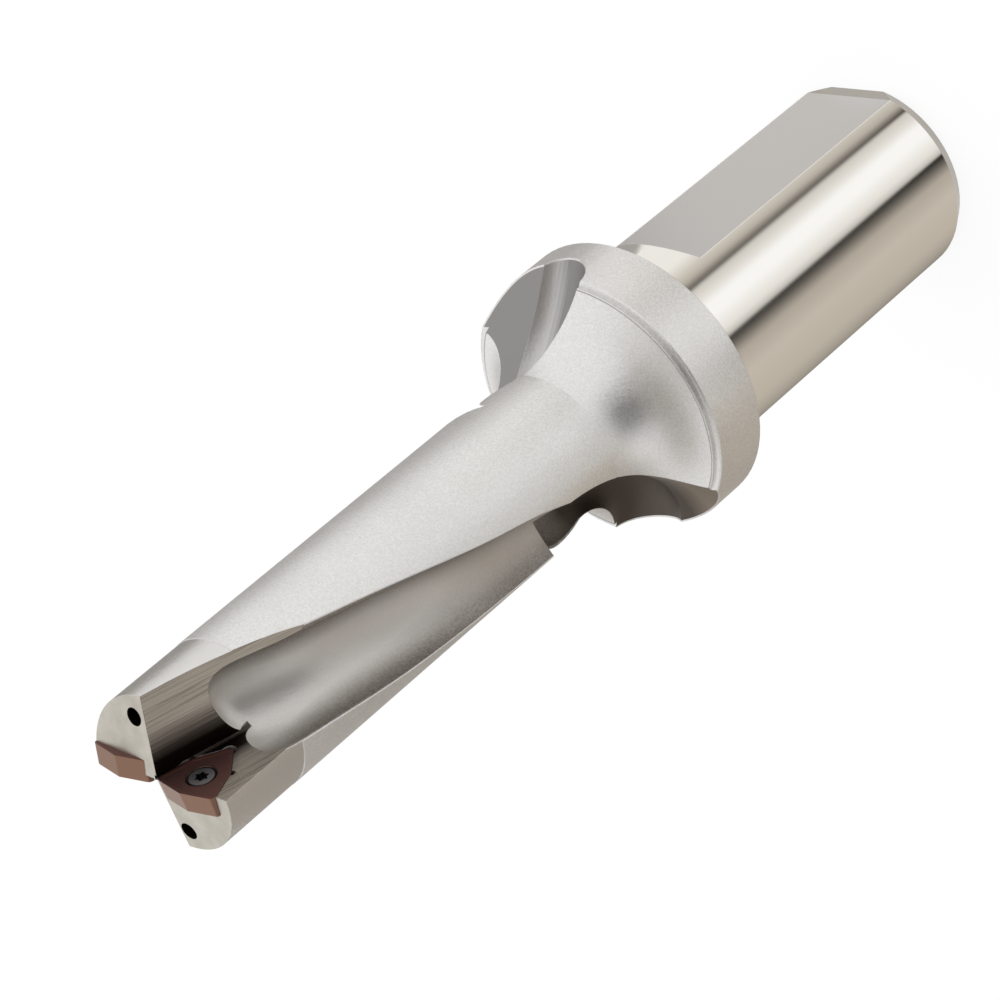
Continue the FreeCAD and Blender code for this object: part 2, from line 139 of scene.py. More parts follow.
# roughness of the finishes that the panel doesn't list, and how far a pattern moves it
ROUGHNESS = {
    "recess": 0.60, "turned": 0.26, "painted_shade": 0.50, "end_face": 0.38, "flat": 0.45, "chamfer": 0.30,
    "rake": 0.42, "flank": 0.36, "socket": 0.60,
}
PHOSPHATE_ROUGHNESS = (0.28, 0.42)
BLASTED_SPREAD = 0.06
BRUSHED_SPREAD = 0.10
CARVED_DULLER = 0.10

# the photograph's view: the camera's right, up and back, its place in mm and the heading it stands at
CAMERA_RIGHT = Vector((0.7505, -0.2135, -0.6254))
CAMERA_UP = Vector((-0.2085, 0.8215, -0.5307))
CAMERA_BACK = CAMERA_RIGHT.cross(CAMERA_UP)
CAMERA_PLACE = Vector((304.4, 255.4, 309.5))
CAMERA_HEADING = degrees(atan2(CAMERA_BACK.y, CAMERA_BACK.x))
SENSOR_WIDTH = 36.0

# the lamp's place in metres
KEY_PLACE = Vector((-0.30, 0.20, 0.80))

# the fan-shaped card in mm: its start past the shank's round, its length and its height over the floor
FAN_CLEARANCE = 0.32
FAN_REACH = 92.0
FAN_LIFT = 0.3

# tones of the fan-shaped card, by the heading in degrees of the shank's side that mirrors it: painted
# reflections that give the shank its bright and dark bands
FAN_TONES = (
    (-60, "#7A736B"), (-45, "#8F887E"), (-20, "#BDB5A9"), (2, "#C6BEB3"), (14, "#B3ABA0"),
    (20, "#6A655F"), (24, "#141312"), (25.5, "#C9C5BF"), (29, "#EAE7E2"), (38, "#FFFFFF"),
    (44, "#FFFFFF"), (49, "#E6E3DE"), (54, "#D4D0C9"), (55.6, "#4A4743"), (57, "#77726C"),
    (60, "#B8B1A7"), (66, "#DAD5CD"), (72, "#F2F0EC"), (124, "#F2F0EC"),
)

# plain glowing cards that only reflections see, painted reflections that the blasted and carved steel
# mirrors: name, corners in mm and colour
CARDS = (
    ("dark_card_front", ((160, -15, -5), (160, 125, -5), (160, 125, 155), (160, -15, 155)),
     "#000000"),
    ("grey_card_side", ((-160, -120, -60), (140, -120, -60), (140, -120, 40), (-160, -120, 40)),
     "#A8A29A"),
    ("warm_card_side", ((70, -25, -59.8), (450, -70, -59.8), (450, -450, -59.8), (-60, -450, -59.8),
                        (-20, -110, -59.8)), "#BAB0A3"),
    ("grey_card_back", ((-60, -300, -59), (-60, 100, -59), (-600, 100, -59), (-600, -300, -59)),
     "#A3A09D"),
    ("grey_card_top", ((165, 130, 160), (165, -260, 160), (40, -260, 330), (40, 130, 330)),
     "#A09A92"),
)


def srgb(code):
    """Linear red, green, blue and alpha of a hex colour."""
    parts = [int(code[index:index + 2], 16) / 255 for index in (1, 3, 5)]
    linear = [c / 12.92 if c <= 0.04045 else ((c + 0.055) / 1.055) ** 2.4 for c in parts]
    return (*linear, 1.0)


def add_node(tree, kind, inputs=None, output=0, **settings):
    """Add a node with its settings and links, and return one of its outputs.

    An input given as a socket is linked, and any other value is set.
    """
    node = tree.nodes.new(kind)
    for name, setting in settings.items():
        setattr(node, name, setting)
    for name, source in (inputs or {}).items():
        if isinstance(source, bpy.types.NodeSocket):
            tree.links.new(source, node.inputs[name])
        else:
            node.inputs[name].default_value = source
    return node.outputs[output] if node.outputs else None


def new_material(name):
    """An empty node material and its tree."""
    material = bpy.data.materials.new(name)
    material.use_nodes = True
    material.node_tree.nodes.clear()
    return material, material.node_tree


def wear(node_name, material):
    """Give a node of the frame one material."""
    node = frame["nodes"][node_name]
    if not node.material_slots:
        node.data.materials.append(material)
    for slot in node.material_slots:
        slot.material = material


def zone(tree, *limits):
    """A share that is 1 inside every limit: each is a source, where it is 0 and where it is 1."""
    share = None
    for source, outside, inside in limits:
        step = add_node(tree, "ShaderNodeMapRange",
                        {"Value": source, "From Min": outside, "From Max": inside})
        share = step if share is None else add_node(tree, "ShaderNodeMath", {0: share, 1: step},
                                                    operation="MULTIPLY")
    return share


def any_of(tree, shares):
    """A share that is as large as the largest of several."""
    largest, *others = shares
    for share in others:
        largest = add_node(tree, "ShaderNodeMath", {0: largest, 1: share}, operation="MAXIMUM")
    return largest


def paint(tree, colour, roughness, layers):
    """Lay finishes over a first one: each is its share, colour and roughness."""
    for share, over, gloss in layers:
        colour = add_node(tree, "ShaderNodeMix", {0: share, 6: colour, 7: over}, 2,
                          data_type="RGBA")
        roughness = add_node(tree, "ShaderNodeMix", {0: share, 2: roughness, 3: gloss})
    return colour, roughness


def place_in_mm(tree):
    """Where a point lies on the drill, in mm."""
    place = add_node(tree, "ShaderNodeTexCoord", output="Object")
    return add_node(tree, "ShaderNodeVectorMath", {0: place, "Scale": 1 / MM}, operation="SCALE")


def side_facing(tree):
    """How squarely a face looks along Y, as the rake faces do, from 0 to 1."""
    normal = add_node(tree, "ShaderNodeNewGeometry", output="True Normal")
    facing_y = add_node(tree, "ShaderNodeSeparateXYZ", {0: normal}, "Y")
    return add_node(tree, "ShaderNodeMath", {0: facing_y}, operation="ABSOLUTE")


def drill_places(tree):
    """What the finishes go by: where a point lies on the drill in mm, and which way its face looks."""
    mm = place_in_mm(tree)
    x = add_node(tree, "ShaderNodeSeparateXYZ", {0: mm})
    y = x.node.outputs["Y"]
    z = x.node.outputs["Z"]
    flattened = add_node(tree, "ShaderNodeVectorMath", {0: mm, 1: (1, 1, 0)}, operation="MULTIPLY")
    radius = add_node(tree, "ShaderNodeVectorMath", {0: flattened}, "Value", operation="LENGTH")
    profile = add_node(tree, "ShaderNodeCombineXYZ", {0: radius, 1: z})
    from_arc = add_node(tree, "ShaderNodeVectorMath", {0: profile, 1: (*CONE_ARC_CENTRE, 0)},
                        "Value", operation="DISTANCE")
    off_floor = add_node(tree, "ShaderNodeMath", {0: y}, operation="ABSOLUTE")
    normal = add_node(tree, "ShaderNodeNewGeometry", output="True Normal")
    facing_x = add_node(tree, "ShaderNodeSeparateXYZ", {0: normal})
    facing_y = facing_x.node.outputs["Y"]
    facing_z = facing_x.node.outputs["Z"]
    return SimpleNamespace(mm=mm, x=x, y=y, z=z, radius=radius, from_arc=from_arc,
                           off_floor=off_floor, normal=normal, facing_x=facing_x,
                           facing_y=facing_y, facing_z=facing_z)


def carved_zone(tree, at):
    """Where flutes and reliefs are cut below the skin of the body, cone, shoulder and rim."""
    body = zone(tree, (at.z, CONE_END - 3 * SEAM, CONE_END - 2 * SEAM),
                (at.radius, SKIN_RADIUS - SEAM, SKIN_RADIUS - 2 * SEAM))
    cone = zone(tree, (at.z, CONE_FOOT, CONE_FOOT + SEAM), (at.z, CONE_END + SEAM, CONE_END),
                (at.from_arc, CONE_ARC + SEAM, CONE_ARC + 2 * SEAM))
    shoulder = zone(tree, (at.z, RIM_FRONT - 3 * SEAM, RIM_FRONT - 2 * SEAM),
                    (at.z, CONE_FOOT + 2 * SEAM, CONE_FOOT + SEAM),
                    (at.radius, SHOULDER_RADIUS, SHOULDER_RADIUS - 2 * SEAM))
    rim = zone(tree, (at.z, SEAM, 2 * SEAM), (at.z, RIM_FRONT - SEAM, RIM_FRONT - 2 * SEAM),
               (at.radius, RIM_RADIUS - RIM_BREAK, RIM_RADIUS - RIM_BREAK - SEAM))
    return any_of(tree, (body, cone, shoulder, rim))


def gash_zones(tree, at):
    """Where the gashes' floors and walls are, and where painted shade darkens the corners between them.
    """
    floor = zone(tree, (at.z, *GASH_RUN_IN), (side_facing(tree), *FLOOR_FACING),
                 (at.off_floor, *FLOOR_LEVEL))
    walls, corners = [], []
    for side, wall_reach in WALL_REACH.items():
        wall_normal = (side * cos(WALL_ANGLE) * cos(WALL_LEAN), side * sin(WALL_LEAN),
                       sin(WALL_ANGLE) * cos(WALL_LEAN))
        facing, reach = (
            add_node(tree, "ShaderNodeVectorMath", {0: source, 1: wall_normal}, "Value",
                     operation="DOT_PRODUCT")
            for source in (at.normal, at.mm))
        wall = zone(tree, (at.z, *GASH_RUN_IN), (facing, *WALL_FACING),
                    (reach, wall_reach - WALL_BAND, wall_reach - WALL_BAND + SEAM),
                    (reach, wall_reach + WALL_BAND, wall_reach + WALL_BAND - SEAM))
        walls.append(wall)
        # painted shade: dark up each wall near the gash floor, and on the floor beside the wall
        corners.append(zone(tree, (wall, 0.0, 1.0), (at.off_floor, *SHADE_UP_WALL)))
        corners.append(zone(tree, (floor, 0.0, 1.0),
                            (reach, *(wall_reach + step for step in SHADE_UNDER_WALL)),
                            (reach, *(wall_reach + step for step in SHADE_OVER_FLOOR))))
    return floor, any_of(tree, walls), any_of(tree, corners)


def milling_streaks(tree, at):
    """Streaks that a cutter leaves along the gashes, from dark at 0 to pale at 1.

    Both walls lean the same way once X has the sign of the side that the face looks to. Real
    streaks are under 0.1 mm wide and wouldn't show, so they are drawn 0.25 mm wide.
    """
    side = add_node(tree, "ShaderNodeMath", {0: at.facing_y}, operation="SIGN")
    turned_x = add_node(tree, "ShaderNodeMath", {0: at.x, 1: side}, operation="MULTIPLY")
    turned = add_node(tree, "ShaderNodeCombineXYZ", {0: turned_x, 1: at.y, 2: at.z})
    across = add_node(tree, "ShaderNodeVectorMath",
                      {0: turned, 1: (cos(WALL_ANGLE), 0, sin(WALL_ANGLE))}, "Value",
                      operation="DOT_PRODUCT")
    space = add_node(tree, "ShaderNodeCombineXYZ", {0: across, 1: at.y, 2: at.z})
    space = add_node(tree, "ShaderNodeVectorMath",
                     {0: space, 1: (1 / STREAK_WIDTH, 1 / STREAK_WIDTH, 1 / STREAK_LENGTH)},
                     operation="MULTIPLY")
    noise = add_node(tree, "ShaderNodeTexNoise", {"Vector": space, "Scale": 1.0, "Detail": 4.0})
    return zone(tree, (noise, *STREAK_CONTRAST))


def carved_tones(tree, at, settings, speckle):
    """Colour of the flutes, with painted shade darker up their walls, and the glint of some bead marks.
    """
    tone = tuple(settings.carved)
    for limits, over in ((CARVED_SIDE, settings.carved_side_shade), (CARVED_EDGE, settings.carved_edge_shade)):
        tone = add_node(tree, "ShaderNodeMix",
                        {0: zone(tree, (at.radius, *limits)), 6: tone, 7: tuple(over)}, 2,
                        data_type="RGBA")
    glints = add_node(tree, "ShaderNodeMath", {0: speckle, 1: GLINT_SHARE},
                      operation="MULTIPLY")
    return add_node(tree, "ShaderNodeMix", {0: glints, 6: tone, 7: tuple(settings.blasted_high)}, 2,
                    data_type="RGBA")


def steel_material(settings):
    """Nickel-plated tool steel, one piece finished in several ways.

    Blasted with fine beads on the flange, cone, body and flutes, which gives a soft pale
    grain; ground on the shank, which mirrors sharply the bright and dark bands of the fan
    card's painted reflections; turned at the nose, which gives a plain satin; milled in the
    gashes, which gives brushed walls with streaks along the drill. Painted shade lies up the
    flutes' walls, in the reliefs, the gash corners, the hollows near the tip and on the shank's
    chamfer, and painted light on the open relief's groove. Real bead marks are under 0.1 mm
    wide and wouldn't show, so the panel's size for them is larger.
    """
    material, tree = new_material("nickel_plated_tool_steel")
    at = drill_places(tree)

    # where each finish lies
    carved = carved_zone(tree, at)
    gash_floor, gash_wall, painted_shade = gash_zones(tree, at)
    below_flange = (at.z, -SEAM, -2 * SEAM)
    shank = zone(tree, below_flange)
    flat = zone(tree, below_flange,
                (at.radius, SHANK_RADIUS - FACET_FALL, SHANK_RADIUS - 2 * FACET_FALL))
    chamfer = zone(tree, (at.z, CHAMFER_TOP, CHAMFER_TOP - SEAM))
    nose = zone(tree, (at.z, NOSE_START - SEAM, NOSE_START + SEAM),
                (at.radius, SKIN_RADIUS - 2 * SEAM, SKIN_RADIUS - SEAM))
    end_face = zone(tree, (at.z, *END_FACE_DEPTH), (at.facing_z, *END_FACING))
    # painted shade in the hollows near the tip, inside the skin; the end faces are laid over it
    recess = zone(tree, (at.z, *RECESS_DEPTH),
                  (at.radius, SKIN_RADIUS - 2 * SEAM, SKIN_RADIUS - 4 * SEAM))
    # where painted light and shade lie on the reliefs: the open one towards +Y, the deep one towards -Y
    lit_relief, deep_relief = (
        zone(tree, (at.y, *side), (at.z, *RELIEF_END), (at.z, *RELIEF_FOOT), (carved, 0.0, 1.0))
        for side in (LIT_RELIEF_SIDE, DEEP_RELIEF_SIDE))

    # the patterns
    grit = add_node(tree, "ShaderNodeTexNoise",
                    {"Vector": at.mm, "Scale": MM / settings.bead_size, "Detail": 3.0,
                     "Roughness": 0.6})
    clouds = add_node(tree, "ShaderNodeTexNoise",
                      {"Vector": at.mm, "Scale": 1 / CLOUD_SIZE, "Detail": 2.0})
    speckle = add_node(tree, "ShaderNodeMix",
                       {0: SPECKLE_SHARE, 2: clouds, 3: zone(tree, (grit, *GRIT_CONTRAST))})
    mottling = add_node(tree, "ShaderNodeTexNoise",
                        {"Vector": at.mm, "Scale": 1 / MOTTLE_SIZE, "Detail": 3.0})
    streaks = milling_streaks(tree, at)

    # the tones and the gloss that change over a finish
    blasted, brushed, mottled, lit_tone, deep_relief_shade = (
        add_node(tree, "ShaderNodeMix", {0: share, 6: tuple(first), 7: tuple(second)}, 2,
                 data_type="RGBA")
        for share, first, second in (
            (speckle, settings.blasted_low, settings.blasted_high),
            (streaks, settings.brushed_low, settings.brushed_high),
            (mottling, settings.end_low, settings.end_high),
            # painted light and shade on the open relief, paler where a face looks towards +X
            (zone(tree, (at.facing_x, *LIT_GROOVE_FACING)), settings.relief_flank_shade, settings.relief_groove_light),
            # painted shade on the deep relief, paler towards +X on its outer flank
            (zone(tree, (at.x, *DEEP_FLANK_SIDE)), settings.deep, settings.deep_flank),
        ))
    blasted_gloss, brushed_gloss = (
        add_node(tree, "ShaderNodeMapRange",
                 {"Value": pattern, "To Min": middle - spread, "To Max": middle + spread})
        for pattern, middle, spread in (
            (grit, settings.blasted_roughness, BLASTED_SPREAD),
            (streaks, settings.brushed_roughness, BRUSHED_SPREAD),
        ))
    carved_gloss = add_node(tree, "ShaderNodeMath", {0: blasted_gloss, 1: CARVED_DULLER},
                            operation="ADD")
    floor_streaks = add_node(tree, "ShaderNodeMath", {0: gash_floor, 1: FLOOR_STREAK_SHARE},
                             operation="MULTIPLY")

    # the finishes, each laid over those before it, and bead marks where the steel is blasted
    colour, roughness = paint(tree, blasted, blasted_gloss, [
        # the flutes, with painted shade up their walls
        (carved, carved_tones(tree, at, settings, speckle), carved_gloss),
        # painted shade, near black, in the hollows near the tip
        (recess, tuple(settings.painted_shade), ROUGHNESS["recess"]),
        # painted light and shade on the open relief
        (lit_relief, lit_tone, blasted_gloss),
        # painted shade on the deep relief
        (deep_relief, deep_relief_shade, blasted_gloss),
        (nose, tuple(settings.turned), ROUGHNESS["turned"]),
        (gash_floor, tuple(settings.end_high), brushed_gloss),
        (floor_streaks, brushed, brushed_gloss),
        (gash_wall, brushed, brushed_gloss),
        # painted shade, near black, in the gash corners beside the walls
        (painted_shade, tuple(settings.painted_shade), ROUGHNESS["painted_shade"]),
        (end_face, mottled, ROUGHNESS["end_face"]),
        (shank, tuple(settings.ground), settings.ground_roughness),
        (flat, tuple(settings.flat), ROUGHNESS["flat"]),
        # painted shade: the chamfer round the shank's end is toned darker
        (chamfer, tuple(settings.chamfer), ROUGHNESS["chamfer"]),
    ])
    beaded = zone(tree, (at.z, -2 * SEAM, -SEAM), (gash_wall, 1.0, 0.0), (gash_floor, 1.0, 0.0),
                  (end_face, 1.0, 0.0))
    height = add_node(tree, "ShaderNodeMath", {0: grit, 1: beaded}, operation="MULTIPLY")
    softened = add_node(tree, "ShaderNodeBevel", {"Radius": settings.edge_wear}, samples=4)
    relief = add_node(tree, "ShaderNodeBump", {"Height": height, "Distance": BEAD_DEPTH * MM,
                                               "Strength": 1.0, "Normal": softened})
    shader = add_node(tree, "ShaderNodeBsdfPrincipled",
                      {"Base Color": colour, "Metallic": 1.0, "Roughness": roughness,
                       "Normal": relief})
    add_node(tree, "ShaderNodeOutputMaterial", {"Surface": shader})
    return material


def carbide_material(settings):
    """Sintered carbide with a thin brown coating: a dark satin face with a coppery flank.

    Real carbide grains are about 0.001 mm wide and wouldn't show, so they are drawn 0.2 mm
    wide.
    """
    material, tree = new_material("coated_sintered_carbide")
    grain = add_node(tree, "ShaderNodeTexNoise",
                     {"Vector": place_in_mm(tree), "Scale": 1 / CARBIDE_GRAIN, "Detail": 4.0})
    colour, roughness = paint(tree, tuple(settings.flank), ROUGHNESS["flank"], [
        (zone(tree, (side_facing(tree), *RAKE_FACING)), tuple(settings.rake), ROUGHNESS["rake"]),
    ])
    relief = add_node(tree, "ShaderNodeBump", {"Height": grain, "Distance": CARBIDE_DEPTH * MM,
                                               "Strength": 0.5})
    shader = add_node(tree, "ShaderNodeBsdfPrincipled",
                      {"Base Color": colour, "Metallic": 0.85, "Roughness": roughness,
                       "Normal": relief})
    add_node(tree, "ShaderNodeOutputMaterial", {"Surface": shader})
    return material


def screw_material(settings, node_name):
    """Hardened alloy steel with a thin grey phosphate: a graphite sheen, dull in the socket.

    Real phosphate crystals are about 0.01 mm wide and wouldn't show, so they are drawn
    0.167 mm wide. The socket and a ring at the head's edge, where the gap round it lies,
    get painted shade that is almost black.
    """
    material, tree = new_material("phosphated_alloy_steel")
    low, high = (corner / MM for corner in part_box(node_name))
    middle = (low + high) / 2
    head_radius = (high.x - low.x) / 2
    mm = place_in_mm(tree)
    grain = add_node(tree, "ShaderNodeTexNoise",
                     {"Vector": mm, "Scale": 1 / PHOSPHATE_GRAIN, "Detail": 3.0})
    gloss = add_node(tree, "ShaderNodeMapRange",
                     {"Value": grain, "To Min": PHOSPHATE_ROUGHNESS[0],
                      "To Max": PHOSPHATE_ROUGHNESS[1]})
    y = add_node(tree, "ShaderNodeSeparateXYZ", {0: mm}, "Y")
    off_seat = add_node(tree, "ShaderNodeMath", {0: y}, operation="ABSOLUTE")
    flattened = add_node(tree, "ShaderNodeVectorMath", {0: mm, 1: (1, 0, 1)}, operation="MULTIPLY")
    from_axis = add_node(tree, "ShaderNodeVectorMath", {0: flattened, 1: (middle.x, 0, middle.z)},
                         "Value", operation="DISTANCE")
    # painted shade: the socket and the ring at the head's edge
    painted_shade_places = (
        (side_facing(tree), *SOCKET_FACING),
        (off_seat, *(SCREW_TOP - depth for depth in SOCKET_DEPTH)),
        (from_axis, *(head_radius - inset for inset in HEAD_RING)),
    )
    colour, gloss = paint(tree, tuple(settings.screw), gloss, [
        (zone(tree, limit), tuple(settings.socket), ROUGHNESS["socket"]) for limit in painted_shade_places
    ])
    relief = add_node(tree, "ShaderNodeBump", {"Height": grain, "Distance": PHOSPHATE_DEPTH * MM,
                                               "Strength": 0.4})
    shader = add_node(tree, "ShaderNodeBsdfPrincipled",
                      {"Base Color": colour, "Metallic": 1.0, "Roughness": gloss,
                       "Normal": relief})
    add_node(tree, "ShaderNodeOutputMaterial", {"Surface": shader})
    return material


def floor_material(settings):
    """Matt white board: it reads as white to the eye and keeps a faint shadow of the drill."""
    material, tree = new_material("matt_white_board")
    rays = add_node(tree, "ShaderNodeLightPath").node.outputs
    seen = any_of(tree, [rays[f"Is {kind} Ray"] for kind in ("Camera", "Glossy", "Transmission")])
    share = add_node(tree, "ShaderNodeMath", {0: seen, 1: settings.glow_share},
                     operation="MULTIPLY")
    board = add_node(tree, "ShaderNodeBsdfDiffuse", {"Color": tuple(settings.floor)})
    glow = add_node(tree, "ShaderNodeEmission", {"Color": srgb("#FFFFFF"), "Strength": 1.0})
    mixed = add_node(tree, "ShaderNodeMixShader", {0: share, 1: board, 2: glow})
    add_node(tree, "ShaderNodeOutputMaterial", {"Surface": mixed})
    return material


def fan_share(heading):
    """How far across the fan-shaped card a heading lies, from 0 to 1."""
    first, last = FAN_TONES[0][0], FAN_TONES[-1][0]
    return (heading - first) / (last - first)


def banded_reflection_material():
    """Glowing card with tones that change across it, seen only in reflections: painted reflections that
    give the ground shank its bright and dark bands.
    """
    material, tree = new_material("painted_reflection_card")
    across = add_node(tree, "ShaderNodeAttribute", output="Fac", attribute_name="heading")
    tone = add_node(tree, "ShaderNodeValToRGB", {0: across})
    stops = tone.node.color_ramp.elements
    while len(stops) < len(FAN_TONES):
        stops.new(0.5)
    for stop, (heading, code) in zip(stops, FAN_TONES):
        stop.position = fan_share(heading)
        stop.color = srgb(code)
    glow = add_node(tree, "ShaderNodeEmission", {"Color": tone, "Strength": 1.0})
    add_node(tree, "ShaderNodeOutputMaterial", {"Surface": glow})
    return material


def plain_card_material(name, code):
    """Glowing card of one tone, seen only in reflections: a painted reflection that gives the blasted and
    carved steel its soft grey patches.
    """
    material, tree = new_material(name)
    glow = add_node(tree, "ShaderNodeEmission", {"Color": srgb(code), "Strength": 1.0})
    add_node(tree, "ShaderNodeOutputMaterial", {"Surface": glow})
    return material


def colour_property(name, description, code):
    """A colour that the panel shows."""
    return FloatVectorProperty(name=name, description=description, size=4, subtype="COLOR",
                               min=0.0, max=1.0, default=srgb(code))


def roughness_property(name, description, default):
    """A roughness that the panel shows."""
    return FloatProperty(name=name, description=description, subtype="FACTOR", min=0.0, max=1.0,
                         default=default)


class DrillSteelSettings(bpy.types.PropertyGroup):
    """Colours and gloss of the body's finishes"""
    blasted_low: colour_property("Blasted, darker", "Darker specks of the blasted skin", "#DAD8D6")
    blasted_high: colour_property("Blasted, paler", "Paler specks of the blasted skin", "#F2F1EF")
    carved: colour_property("Carved", "Bottom of the flutes", "#D8D5D1")
    # painted shade up the flutes' walls, darkest beside their edges
    carved_side_shade: colour_property("Carved side", "Upper walls of the flutes", "#948C84")
    carved_edge_shade: colour_property("Carved edge", "Walls beside the flutes' edges", "#7A7069")
    # painted light and shade on the open relief: its flank shaded, the faces that look towards +X lit
    relief_flank_shade: colour_property("Lit relief, flank", "Open relief's flank", "#93918F")
    relief_groove_light: colour_property("Lit relief, groove", "Open relief's groove", "#CCCAC9")
    # painted shade on the deep relief, paler on its outer flank
    deep: colour_property("Deep relief", "Shaded relief that the chips leave by", "#59514B")
    deep_flank: colour_property("Deep relief, flank", "Outer flank of the shaded relief", "#9A8F84")
    turned: colour_property("Turned", "Nose behind the end faces", "#DCDAD7")
    brushed_low: colour_property("Brushed, darker", "Dark streaks of the gashes", "#7C7369")
    brushed_high: colour_property("Brushed, paler", "Pale streaks of the gashes", "#BFB5A9")
    # painted shade, near black, in the gash corners and the hollows near the tip
    painted_shade: colour_property("Painted shade", "Corner of the gash beside the insert", "#1E1712")
    end_low: colour_property("End face, darker", "Dark clouds of the end faces", "#A9A499")
    end_high: colour_property("End face, paler", "Pale clouds of the end faces", "#D2CDC3")
    ground: colour_property("Ground", "Round of the shank", "#F8F6F2")
    # painted shade: darker on the chamfer round the shank's end
    chamfer: colour_property("Chamfer", "Edge of the shank's end", "#A8A298")
    flat: colour_property("Flat", "Clamping flat", "#CCCAC9")
    blasted_roughness: roughness_property("Blasted roughness", "Gloss of the skin", 0.42)
    brushed_roughness: roughness_property("Brushed roughness", "Gloss of the gashes", 0.34)
    ground_roughness: roughness_property("Ground roughness", "Gloss of the shank", 0.12)
    edge_wear: FloatProperty(name="Edge wear", description="Radius that the light finds on edges",
                             default=0.15 * MM, min=0.0, max=1.0 * MM, precision=5, unit="LENGTH")
    bead_size: FloatProperty(name="Bead mark size", description="Width of a drawn bead mark",
                             default=0.32 * MM, min=0.05 * MM, max=2.0 * MM, precision=5,
                             unit="LENGTH")


class DrillInsertSettings(bpy.types.PropertyGroup):
    """Colours of the inserts and their screws"""
    rake: colour_property("Rake face", "Coating on the rake face", "#6F4F4A")
    flank: colour_property("Flank", "Coating on the flank", "#836452")
    screw: colour_property("Screw", "Insert screw", "#C2C2C9")
    # painted shade in the socket and round the head
    socket: colour_property("Socket", "Screw's socket and the ring round its head", "#26262A")


class DrillStageSettings(bpy.types.PropertyGroup):
    """Floor, lamp, surround and lens"""
    floor: colour_property("Floor", "Colour of the board", "#F4F4F4")
    floor_width: FloatProperty(name="Floor width", description="Side of the board",
                               default=6.0, min=0.5, max=20.0, unit="LENGTH")
    glow_share: FloatProperty(name="White share", description="Part of the board that reads as white",
                              default=0.9, min=0.0, max=1.0, subtype="FACTOR")
    key_power: FloatProperty(name="Lamp power", description="Power of the soft lamp",
                             default=3.0, min=0.0, max=100.0, unit="POWER")
    key_width: FloatProperty(name="Lamp width", description="Side of the soft lamp",
                             default=0.80, min=0.05, max=5.0, unit="LENGTH")
    lens: FloatProperty(name="Lens", description="Focal length on a 36 mm wide sensor",
                        default=127.7, min=10.0, max=500.0, unit="CAMERA")
    daylight: FloatProperty(name="Surround", description="Strength of the even surround",
                            default=1.0, min=0.0, max=5.0)


class DRILL_OT_finish_body(bpy.types.Operator):
    """Give the drill's body its blasted, ground and brushed steel"""
    bl_idname = "drill.finish_body"
    bl_label = "Finish the body"

    def execute(self, context):
        wear("drill_body", steel_material(context.scene.drill_steel))
        return {"FINISHED"}


class DRILL_OT_finish_inserts(bpy.types.Operator):
    """Give both inserts their coated carbide"""
    bl_idname = "drill.finish_inserts"
    bl_label = "Finish the inserts"

    def execute(self, context):
        carbide = carbide_material(context.scene.drill_inserts)
        for insert in ("central_insert", "peripheral_insert"):
            wear(insert, carbide)
        return {"FINISHED"}


class DRILL_OT_finish_screws(bpy.types.Operator):
    """Give both insert screws their phosphated steel"""
    bl_idname = "drill.finish_screws"
    bl_label = "Finish the screws"

    def execute(self, context):
        for screw in ("central_insert_screw", "peripheral_insert_screw"):
            wear(screw, screw_material(context.scene.drill_inserts, screw))
        return {"FINISHED"}


def add_sheet(context, name, corners, faces, material):
    """A flat sheet, from corners in mm."""
    mesh = bpy.data.meshes.new(name)
    mesh.from_pydata([Vector(corner) * MM for corner in corners], [], faces)
    mesh.materials.append(material)
    sheet = bpy.data.objects.new(name, mesh)
    context.scene.collection.objects.link(sheet)
    return sheet


def add_card(context, name, corners, faces, material):
    """A sheet of the stage that only reflections see."""
    card = add_sheet(context, name, corners, faces, material)
    card.visible_camera = False
    card.visible_diffuse = False
    card.visible_shadow = False
    card.visible_transmission = False
    return card


def set_floor(context, settings):
    """A plain board under the shank's end."""
    half = settings.floor_width / 2 / MM
    corners = [(x * half, y * half, SHANK_END) for x, y in ((-1, -1), (1, -1), (1, 1), (-1, 1))]
    floor = add_sheet(context, "floor", corners, [(0, 1, 2, 3)], floor_material(settings))


def set_fan_card(context):
    """A glowing fan on the floor round the shank that only reflections see: each side of the shank
    mirrors one ray of it, a painted reflection.
    """
    start = SHANK_RADIUS + FAN_CLEARANCE
    corners, shares = [], []
    for heading in range(FAN_TONES[0][0], FAN_TONES[-1][0] + 1):
        side = radians(heading)
        away = radians(2 * heading - CAMERA_HEADING)
        for reach in (0, FAN_REACH):
            corners.append((start * cos(side) + reach * cos(away),
                            start * sin(side) + reach * sin(away), SHANK_END + FAN_LIFT))
            shares.append(fan_share(heading))
    faces = [(i, i + 1, i + 3, i + 2) for i in range(0, len(corners) - 2, 2)]
    card = add_card(context, "fan_card", corners, faces, banded_reflection_material())
    card.data.attributes.new("heading", "FLOAT", "POINT").data.foreach_set("value", shares)


def set_key_lamp(context, settings):
    """A soft square lamp that looks at the drill's middle. Polished steel doesn't mirror it."""
    data = bpy.data.lights.new("key", "AREA")
    data.shape = "SQUARE"
    data.size = settings.key_width
    data.energy = settings.key_power
    lamp = bpy.data.objects.new("key", data)
    context.scene.collection.objects.link(lamp)
    lamp.visible_glossy = False
    middle = Vector((0, 0, (SHANK_END + TIP) / 2)) * MM
    lamp.location = KEY_PLACE
    lamp.rotation_euler = (middle - KEY_PLACE).to_track_quat("-Z", "Y").to_euler()


def set_surround(context, settings):
    """An even pale surround that reads as white behind the drill."""
    world = bpy.data.worlds.new("surround")
    world.use_nodes = True
    world.node_tree.nodes.clear()
    glow = add_node(world.node_tree, "ShaderNodeBackground",
                    {"Color": srgb("#FFFFFF"), "Strength": settings.daylight})
    add_node(world.node_tree, "ShaderNodeOutputWorld", {"Surface": glow})
    context.scene.world = world


